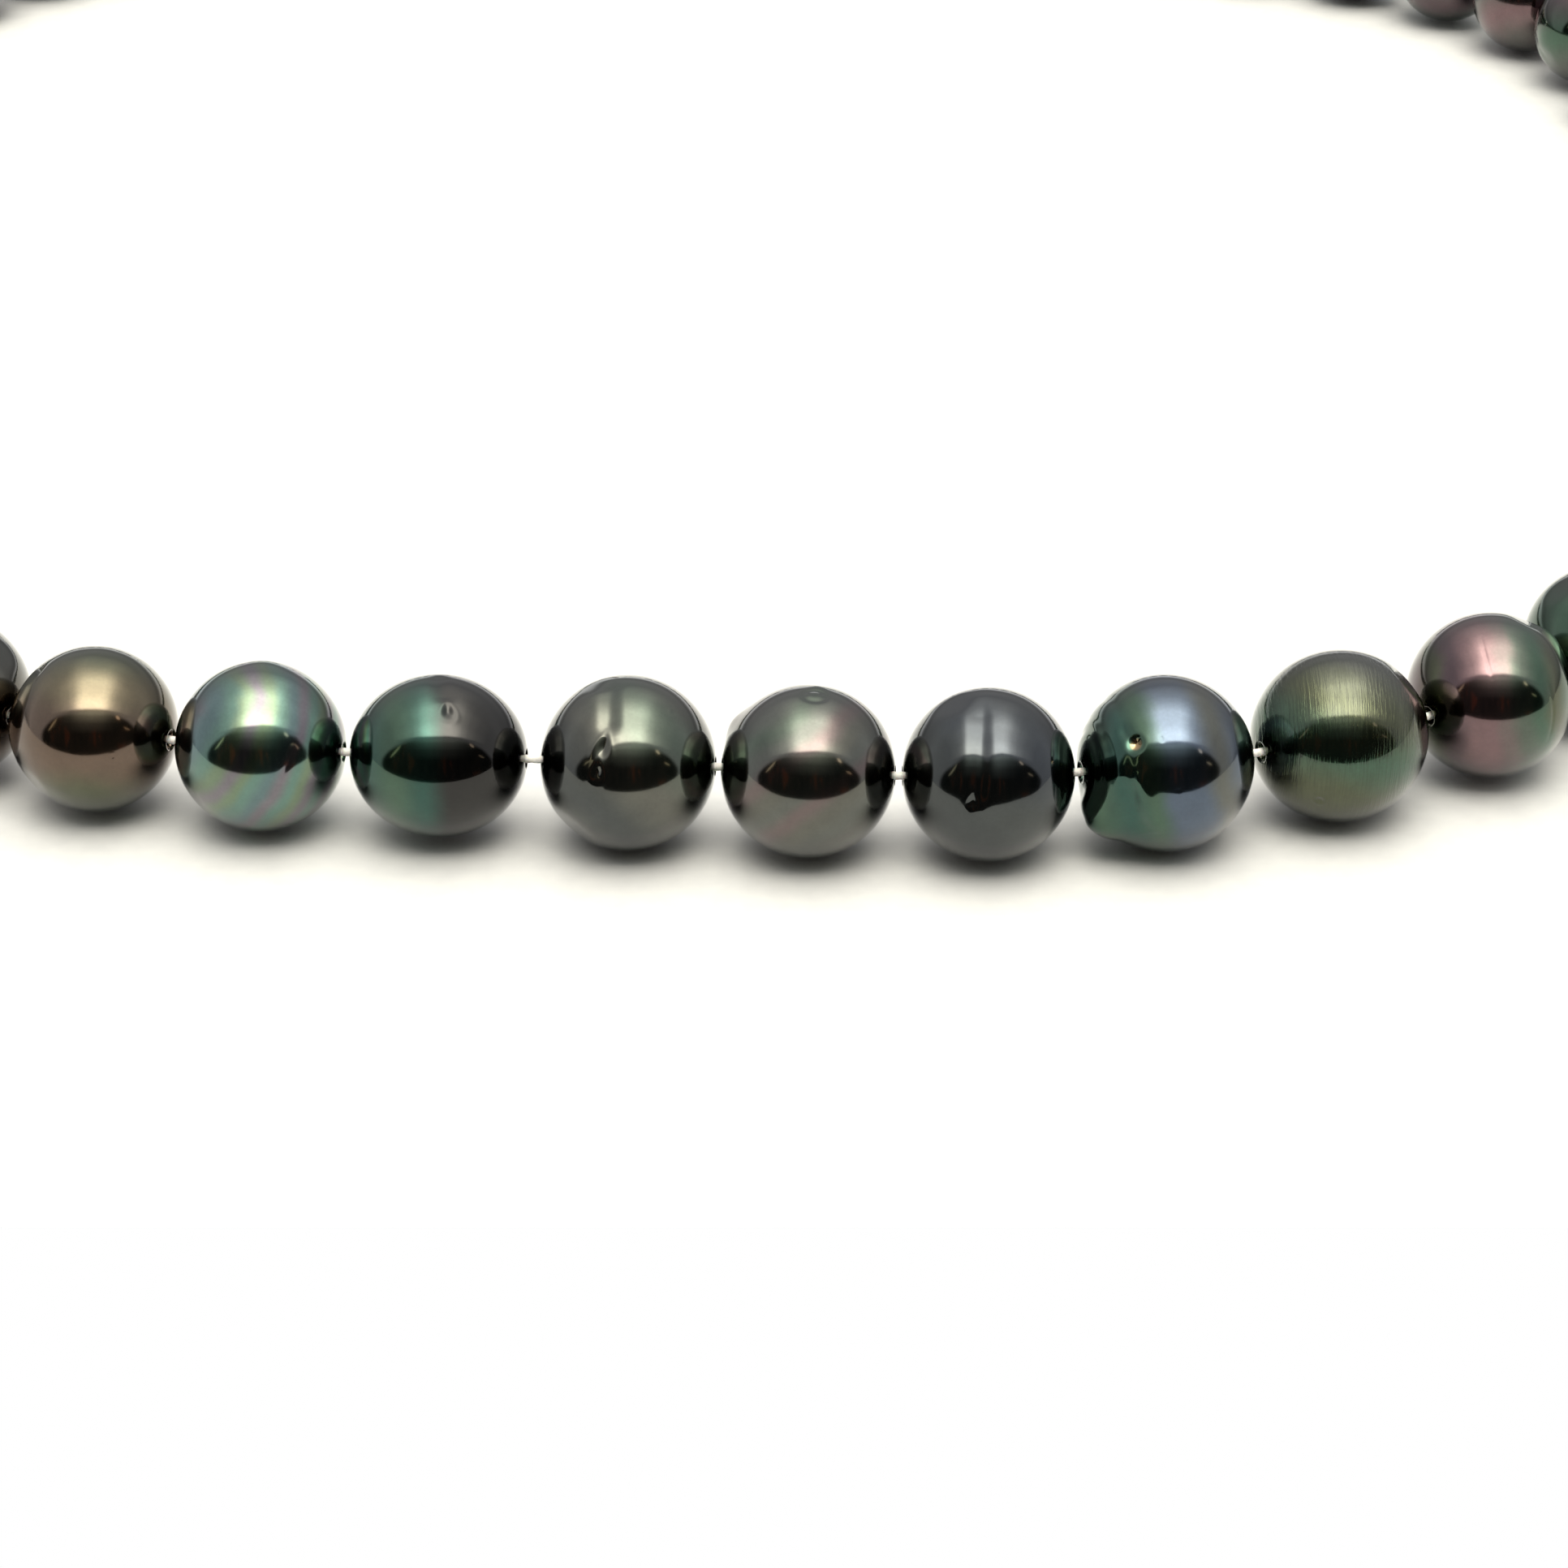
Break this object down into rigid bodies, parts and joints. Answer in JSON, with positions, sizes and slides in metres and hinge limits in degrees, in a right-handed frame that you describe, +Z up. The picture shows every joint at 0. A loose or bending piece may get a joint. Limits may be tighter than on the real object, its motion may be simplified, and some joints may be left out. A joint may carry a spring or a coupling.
{
  "type": "pearl necklace",
  "caption": "Strand of dark off-round cultured pearls on one continuous cord, closed by a ball clasp with a spring tongue; it lies in a loop and bends at every gap.",
  "frame": {"origin": "on the surface that the strand lies on, under the middle of its bounding box", "axes": "+Z up; +Y from the middle pearl at the front of the loop towards the clasp at its back; +X to the right of someone who looks along +Y"},
  "size_m": [0.1642, 0.1784, 0.0103],
  "materials": {
    "pearl": "dark nacre with a deep mirror lustre and green, blue, aubergine and pink overtones",
    "thread": "twisted off-white silk cord",
    "french_wire": "fine close-wound coil of silver-coloured wire",
    "white_gold": "polished rhodium-plated white metal",
    "spring_metal": "finely brushed white spring strip"
  },
  "bodies": {
    "pearl_middle": {"pearl_middle": "pearl", "bead_thread": "thread"},
    "pearl_left_01": {"pearl_left_01": "pearl"},
    "pearl_left_02": {"pearl_left_02": "pearl"},
    "pearl_left_03": {"pearl_left_03": "pearl"},
    "pearl_left_04": {"pearl_left_04": "pearl"},
    "pearl_left_05": {"pearl_left_05": "pearl"},
    "pearl_left_06": {"pearl_left_06": "pearl"},
    "pearl_left_07": {"pearl_left_07": "pearl"},
    "pearl_left_08": {"pearl_left_08": "pearl"},
    "pearl_left_09": {"pearl_left_09": "pearl"},
    "pearl_left_10": {"pearl_left_10": "pearl"},
    "pearl_left_11": {"pearl_left_11": "pearl"},
    "pearl_left_12": {"pearl_left_12": "pearl"},
    "pearl_left_13": {"pearl_left_13": "pearl"},
    "pearl_left_14": {"pearl_left_14": "pearl"},
    "pearl_left_15": {"pearl_left_15": "pearl"},
    "pearl_left_16": {"pearl_left_16": "pearl"},
    "pearl_left_17": {"pearl_left_17": "pearl"},
    "pearl_left_18": {"pearl_left_18": "pearl"},
    "pearl_left_19": {"pearl_left_19": "pearl"},
    "pearl_left_20": {"pearl_left_20": "pearl"},
    "pearl_left_21": {"pearl_left_21": "pearl"},
    "pearl_left_22": {"pearl_left_22": "pearl"},
    "pearl_left_23": {"pearl_left_23": "pearl"},
    "pearl_left_24": {"pearl_left_24": "pearl"},
    "pearl_left_25": {"pearl_left_25": "pearl", "gimp_ball_side": "french_wire"},
    "pearl_right_01": {"pearl_right_01": "pearl"},
    "pearl_right_02": {"pearl_right_02": "pearl"},
    "pearl_right_03": {"pearl_right_03": "pearl"},
    "pearl_right_04": {"pearl_right_04": "pearl"},
    "pearl_right_05": {"pearl_right_05": "pearl"},
    "pearl_right_06": {"pearl_right_06": "pearl"},
    "pearl_right_07": {"pearl_right_07": "pearl"},
    "pearl_right_08": {"pearl_right_08": "pearl"},
    "pearl_right_09": {"pearl_right_09": "pearl"},
    "pearl_right_10": {"pearl_right_10": "pearl"},
    "pearl_right_11": {"pearl_right_11": "pearl"},
    "pearl_right_12": {"pearl_right_12": "pearl"},
    "pearl_right_13": {"pearl_right_13": "pearl"},
    "pearl_right_14": {"pearl_right_14": "pearl"},
    "pearl_right_15": {"pearl_right_15": "pearl"},
    "pearl_right_16": {"pearl_right_16": "pearl"},
    "pearl_right_17": {"pearl_right_17": "pearl"},
    "pearl_right_18": {"pearl_right_18": "pearl"},
    "pearl_right_19": {"pearl_right_19": "pearl"},
    "pearl_right_20": {"pearl_right_20": "pearl"},
    "pearl_right_21": {"pearl_right_21": "pearl"},
    "pearl_right_22": {"pearl_right_22": "pearl"},
    "pearl_right_23": {"pearl_right_23": "pearl"},
    "pearl_right_24": {"pearl_right_24": "pearl"},
    "pearl_right_25": {"pearl_right_25": "pearl", "gimp_tongue_side": "french_wire"},
    "clasp_ball": {"clasp_ball_shell": "white_gold", "clasp_ball_ring": "white_gold"},
    "clasp_tongue": {"tongue_cap": "white_gold", "tongue_blade": "spring_metal", "tongue_ring": "white_gold"},
    "tongue_spring_leaf": {"tongue_spring_leaf": "spring_metal"}
  },
  "joints": [
    {"name": "bend_left_01", "type": "hinge", "parent": "pearl_middle", "child": "pearl_left_01", "pos_m": [0.00071, -0.08325, 0.00517], "axis": [0, 0, 1], "range_deg": [0, 5.4], "deforming": ["bead_thread"]},
    {"name": "bend_left_02", "type": "hinge", "parent": "pearl_left_01", "child": "pearl_left_02", "pos_m": [-0.00999, -0.08231, 0.00516], "axis": [0, 0, 1], "range_deg": [0, 5.9], "deforming": ["bead_thread"]},
    {"name": "bend_left_03", "type": "hinge", "parent": "pearl_left_02", "child": "pearl_left_03", "pos_m": [-0.02087, -0.08146, 0.00514], "axis": [0, 0, 1], "range_deg": [0, 10.1], "deforming": ["bead_thread"]},
    {"name": "bend_left_04", "type": "hinge", "parent": "pearl_left_03", "child": "pearl_left_04", "pos_m": [-0.03109, -0.08001, 0.00513], "axis": [0, 0, 1], "range_deg": [0, 15.4], "deforming": ["bead_thread"]},
    {"name": "bend_left_05", "type": "hinge", "parent": "pearl_left_04", "child": "pearl_left_05", "pos_m": [-0.0408, -0.07705, 0.00511], "axis": [0, 0, 1], "range_deg": [0, 18.8], "deforming": ["bead_thread"]},
    {"name": "bend_left_06", "type": "hinge", "parent": "pearl_left_05", "child": "pearl_left_06", "pos_m": [-0.04992, -0.07193, 0.0051], "axis": [0, 0, 1], "range_deg": [0, 20.8], "deforming": ["bead_thread"]},
    {"name": "bend_left_07", "type": "hinge", "parent": "pearl_left_06", "child": "pearl_left_07", "pos_m": [-0.05741, -0.06481, 0.00508], "axis": [0, 0, 1], "range_deg": [0, 22.2], "deforming": ["bead_thread"]},
    {"name": "bend_left_08", "type": "hinge", "parent": "pearl_left_07", "child": "pearl_left_08", "pos_m": [-0.06258, -0.05612, 0.00507], "axis": [0, 0, 1], "range_deg": [0, 17.4], "deforming": ["bead_thread"]},
    {"name": "bend_left_09", "type": "hinge", "parent": "pearl_left_08", "child": "pearl_left_09", "pos_m": [-0.06609, -0.04637, 0.00506], "axis": [0, 0, 1], "range_deg": [0, 11.8], "deforming": ["bead_thread"]},
    {"name": "bend_left_10", "type": "hinge", "parent": "pearl_left_09", "child": "pearl_left_10", "pos_m": [-0.06864, -0.03655, 0.00504], "axis": [0, 0, 1], "range_deg": [0, 8.6], "deforming": ["bead_thread"]},
    {"name": "bend_left_11", "type": "hinge", "parent": "pearl_left_10", "child": "pearl_left_11", "pos_m": [-0.07085, -0.02651, 0.00503], "axis": [0, 0, 1], "range_deg": [0, 8.4], "deforming": ["bead_thread"]},
    {"name": "bend_left_12", "type": "hinge", "parent": "pearl_left_11", "child": "pearl_left_12", "pos_m": [-0.0727, -0.01653, 0.00501], "axis": [0, 0, 1], "range_deg": [0, 8.3], "deforming": ["bead_thread"]},
    {"name": "bend_left_13", "type": "hinge", "parent": "pearl_left_12", "child": "pearl_left_13", "pos_m": [-0.07419, -0.00672, 0.005], "axis": [0, 0, 1], "range_deg": [0, 8.2], "deforming": ["bead_thread"]},
    {"name": "bend_left_14", "type": "hinge", "parent": "pearl_left_13", "child": "pearl_left_14", "pos_m": [-0.07541, 0.00339, 0.00498], "axis": [0, 0, 1], "range_deg": [0, 8.1], "deforming": ["bead_thread"]},
    {"name": "bend_left_15", "type": "hinge", "parent": "pearl_left_14", "child": "pearl_left_15", "pos_m": [-0.07634, 0.01331, 0.00497], "axis": [0, 0, 1], "range_deg": [0, 7.9], "deforming": ["bead_thread"]},
    {"name": "bend_left_16", "type": "hinge", "parent": "pearl_left_15", "child": "pearl_left_16", "pos_m": [-0.07704, 0.02337, 0.00495], "axis": [0, 0, 1], "range_deg": [0, 8.3], "deforming": ["bead_thread"]},
    {"name": "bend_left_17", "type": "hinge", "parent": "pearl_left_16", "child": "pearl_left_17", "pos_m": [-0.07742, 0.03334, 0.00494], "axis": [0, 0, 1], "range_deg": [0, 10.9], "deforming": ["bead_thread"]},
    {"name": "bend_left_18", "type": "hinge", "parent": "pearl_left_17", "child": "pearl_left_18", "pos_m": [-0.07703, 0.04307, 0.00492], "axis": [0, 0, 1], "range_deg": [0, 14.1], "deforming": ["bead_thread"]},
    {"name": "bend_left_19", "type": "hinge", "parent": "pearl_left_18", "child": "pearl_left_19", "pos_m": [-0.07532, 0.05292, 0.00491], "axis": [0, 0, 1], "range_deg": [0, 16.6], "deforming": ["bead_thread"]},
    {"name": "bend_left_20", "type": "hinge", "parent": "pearl_left_19", "child": "pearl_left_20", "pos_m": [-0.07199, 0.06212, 0.00489], "axis": [0, 0, 1], "range_deg": [0, 19.4], "deforming": ["bead_thread"]},
    {"name": "bend_left_21", "type": "hinge", "parent": "pearl_left_20", "child": "pearl_left_21", "pos_m": [-0.06663, 0.07044, 0.00488], "axis": [0, 0, 1], "range_deg": [0, 23.8], "deforming": ["bead_thread"]},
    {"name": "bend_left_22", "type": "hinge", "parent": "pearl_left_21", "child": "pearl_left_22", "pos_m": [-0.05912, 0.07673, 0.00487], "axis": [0, 0, 1], "range_deg": [0, 22.2], "deforming": ["bead_thread"]},
    {"name": "bend_left_23", "type": "hinge", "parent": "pearl_left_22", "child": "pearl_left_23", "pos_m": [-0.05041, 0.08066, 0.00485], "axis": [0, 0, 1], "range_deg": [0, 16.7], "deforming": ["bead_thread"]},
    {"name": "bend_left_24", "type": "hinge", "parent": "pearl_left_23", "child": "pearl_left_24", "pos_m": [-0.04089, 0.08304, 0.00484], "axis": [0, 0, 1], "range_deg": [0, 13.1], "deforming": ["bead_thread"]},
    {"name": "bend_left_25", "type": "hinge", "parent": "pearl_left_24", "child": "pearl_left_25", "pos_m": [-0.03137, 0.08429, 0.00482], "axis": [0, 0, 1], "range_deg": [0, 12], "deforming": ["bead_thread"]},
    {"name": "clasp_ball_swing", "type": "hinge", "parent": "pearl_left_25", "child": "clasp_ball", "pos_m": [-0.01912, 0.08472, 0.00482], "axis": [0, 0, 1], "range_deg": [0, 29.8]},
    {"name": "bend_right_01", "type": "hinge", "parent": "pearl_middle", "child": "pearl_right_01", "pos_m": [0.01107, -0.08437, 0.00517], "axis": [0, 0, -1], "range_deg": [0, 15.1], "deforming": ["bead_thread"]},
    {"name": "bend_right_02", "type": "hinge", "parent": "pearl_right_01", "child": "pearl_right_02", "pos_m": [0.02137, -0.08393, 0.00516], "axis": [0, 0, -1], "range_deg": [0, 16.6], "deforming": ["bead_thread"]},
    {"name": "bend_right_03", "type": "hinge", "parent": "pearl_right_02", "child": "pearl_right_03", "pos_m": [0.03182, -0.0816, 0.00514], "axis": [0, 0, -1], "range_deg": [0, 16.9], "deforming": ["bead_thread"]},
    {"name": "bend_right_04", "type": "hinge", "parent": "pearl_right_03", "child": "pearl_right_04", "pos_m": [0.04211, -0.07724, 0.00513], "axis": [0, 0, -1], "range_deg": [0, 17.2], "deforming": ["bead_thread"]},
    {"name": "bend_right_05", "type": "hinge", "parent": "pearl_right_04", "child": "pearl_right_05", "pos_m": [0.05086, -0.0714, 0.00511], "axis": [0, 0, -1], "range_deg": [0, 17.1], "deforming": ["bead_thread"]},
    {"name": "bend_right_06", "type": "hinge", "parent": "pearl_right_05", "child": "pearl_right_06", "pos_m": [0.05819, -0.06423, 0.0051], "axis": [0, 0, -1], "range_deg": [0, 17.7], "deforming": ["bead_thread"]},
    {"name": "bend_right_07", "type": "hinge", "parent": "pearl_right_06", "child": "pearl_right_07", "pos_m": [0.06404, -0.0557, 0.00508], "axis": [0, 0, -1], "range_deg": [0, 17.1], "deforming": ["bead_thread"]},
    {"name": "bend_right_08", "type": "hinge", "parent": "pearl_right_07", "child": "pearl_right_08", "pos_m": [0.06813, -0.04646, 0.00507], "axis": [0, 0, -1], "range_deg": [0, 13.8], "deforming": ["bead_thread"]},
    {"name": "bend_right_09", "type": "hinge", "parent": "pearl_right_08", "child": "pearl_right_09", "pos_m": [0.07109, -0.03649, 0.00506], "axis": [0, 0, -1], "range_deg": [0, 10.8], "deforming": ["bead_thread"]},
    {"name": "bend_right_10", "type": "hinge", "parent": "pearl_right_09", "child": "pearl_right_10", "pos_m": [0.07323, -0.02655, 0.00504], "axis": [0, 0, -1], "range_deg": [0, 9.6], "deforming": ["bead_thread"]},
    {"name": "bend_right_11", "type": "hinge", "parent": "pearl_right_10", "child": "pearl_right_11", "pos_m": [0.07485, -0.01646, 0.00503], "axis": [0, 0, -1], "range_deg": [0, 9], "deforming": ["bead_thread"]},
    {"name": "bend_right_12", "type": "hinge", "parent": "pearl_right_11", "child": "pearl_right_12", "pos_m": [0.07602, -0.00637, 0.00501], "axis": [0, 0, -1], "range_deg": [0, 8.6], "deforming": ["bead_thread"]},
    {"name": "bend_right_13", "type": "hinge", "parent": "pearl_right_12", "child": "pearl_right_13", "pos_m": [0.07681, 0.00352, 0.005], "axis": [0, 0, -1], "range_deg": [0, 8.7], "deforming": ["bead_thread"]},
    {"name": "bend_right_14", "type": "hinge", "parent": "pearl_right_13", "child": "pearl_right_14", "pos_m": [0.07724, 0.01373, 0.00498], "axis": [0, 0, -1], "range_deg": [0, 9], "deforming": ["bead_thread"]},
    {"name": "bend_right_15", "type": "hinge", "parent": "pearl_right_14", "child": "pearl_right_15", "pos_m": [0.07723, 0.02371, 0.00497], "axis": [0, 0, -1], "range_deg": [0, 10], "deforming": ["bead_thread"]},
    {"name": "bend_right_16", "type": "hinge", "parent": "pearl_right_15", "child": "pearl_right_16", "pos_m": [0.0766, 0.03372, 0.00495], "axis": [0, 0, -1], "range_deg": [0, 12.6], "deforming": ["bead_thread"]},
    {"name": "bend_right_17", "type": "hinge", "parent": "pearl_right_16", "child": "pearl_right_17", "pos_m": [0.07494, 0.04355, 0.00494], "axis": [0, 0, -1], "range_deg": [0, 15], "deforming": ["bead_thread"]},
    {"name": "bend_right_18", "type": "hinge", "parent": "pearl_right_17", "child": "pearl_right_18", "pos_m": [0.07192, 0.05282, 0.00492], "axis": [0, 0, -1], "range_deg": [0, 16.9], "deforming": ["bead_thread"]},
    {"name": "bend_right_19", "type": "hinge", "parent": "pearl_right_18", "child": "pearl_right_19", "pos_m": [0.06713, 0.06163, 0.00491], "axis": [0, 0, -1], "range_deg": [0, 19.8], "deforming": ["bead_thread"]},
    {"name": "bend_right_20", "type": "hinge", "parent": "pearl_right_19", "child": "pearl_right_20", "pos_m": [0.06059, 0.06894, 0.00489], "axis": [0, 0, -1], "range_deg": [0, 21.8], "deforming": ["bead_thread"]},
    {"name": "bend_right_21", "type": "hinge", "parent": "pearl_right_20", "child": "pearl_right_21", "pos_m": [0.05233, 0.07428, 0.00488], "axis": [0, 0, -1], "range_deg": [0, 18.1], "deforming": ["bead_thread"]},
    {"name": "bend_right_22", "type": "hinge", "parent": "pearl_right_21", "child": "pearl_right_22", "pos_m": [0.04321, 0.07783, 0.00487], "axis": [0, 0, -1], "range_deg": [0, 14], "deforming": ["bead_thread"]},
    {"name": "bend_right_23", "type": "hinge", "parent": "pearl_right_22", "child": "pearl_right_23", "pos_m": [0.03392, 0.0801, 0.00485], "axis": [0, 0, -1], "range_deg": [0, 11.5], "deforming": ["bead_thread"]},
    {"name": "bend_right_24", "type": "hinge", "parent": "pearl_right_23", "child": "pearl_right_24", "pos_m": [0.02418, 0.0816, 0.00484], "axis": [0, 0, -1], "range_deg": [0, 9.2], "deforming": ["bead_thread"]},
    {"name": "bend_right_25", "type": "hinge", "parent": "pearl_right_24", "child": "pearl_right_25", "pos_m": [0.01461, 0.0826, 0.00482], "axis": [0, 0, -1], "range_deg": [0, 7.4], "deforming": ["bead_thread"]},
    {"name": "clasp_tongue_swing", "type": "hinge", "parent": "pearl_right_25", "child": "clasp_tongue", "pos_m": [0.00244, 0.08368, 0.00482], "axis": [0, 0, -1], "range_deg": [0, 27.3]},
    {"name": "thumb_press", "type": "hinge", "parent": "clasp_tongue", "child": "tongue_spring_leaf", "pos_m": [-0.0061, 0.08409, 0.00497], "axis": [0.0486, 0.9988, 0], "range_deg": [0, 7], "stiffness_Nm_per_rad": 0.1}
  ]
}
